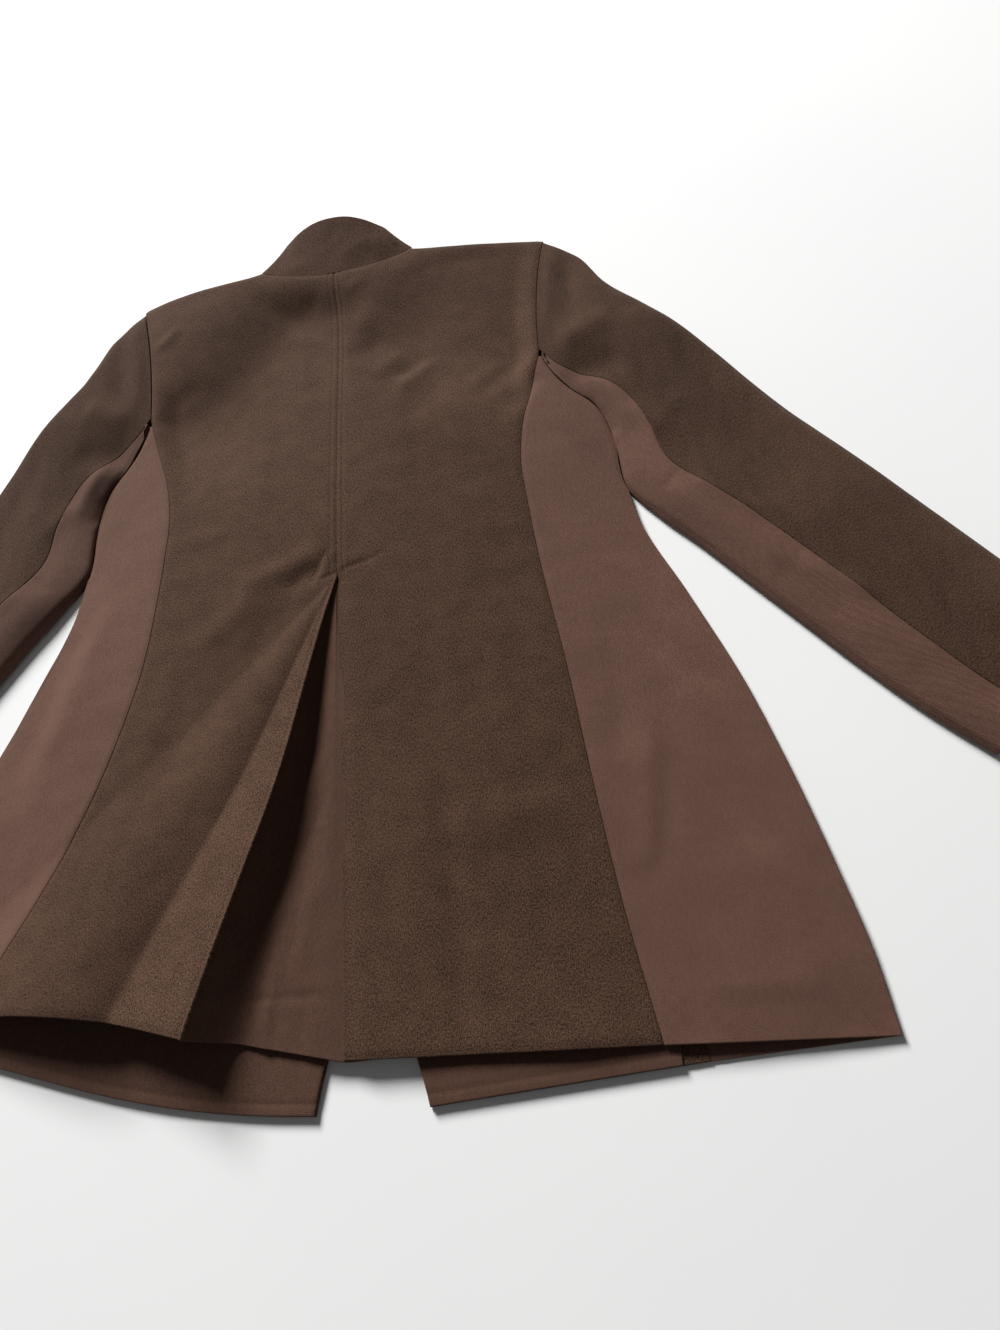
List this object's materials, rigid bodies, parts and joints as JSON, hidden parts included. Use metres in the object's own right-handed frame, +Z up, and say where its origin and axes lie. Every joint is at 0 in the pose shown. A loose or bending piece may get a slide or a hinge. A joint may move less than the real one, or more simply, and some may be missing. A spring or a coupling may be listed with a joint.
{
  "type": "topper jacket",
  "caption": "Flared wool topper jacket lying face down, with a stand collar, long sleeves, smooth side panels and an open centre-back pleat.",
  "frame": {"origin": "on the table under the middle of the garment's plan box", "axes": "+X towards the wearer's right sleeve, +Y from the hem towards the collar, +Z up off the table, out of the wearer's back"},
  "size_m": [1.1356, 0.7905, 0.055],
  "materials": {
    "wool": "matte napped",
    "ponte": "smooth matte twill"
  },
  "bodies": {
    "root": {"back_left": "wool", "back_right": "wool", "collar": "wool", "front_left": "wool", "front_right": "wool", "hem_facing_left": "ponte", "hem_facing_right": "ponte", "pleat_underlay": "ponte", "side_back_left": "ponte", "side_back_right": "ponte", "side_front_left": "ponte", "side_front_right": "ponte", "sleeve_under_left": "ponte", "sleeve_under_right": "ponte", "sleeve_upper_left": "wool", "sleeve_upper_right": "wool"}
  },
  "joints": []
}
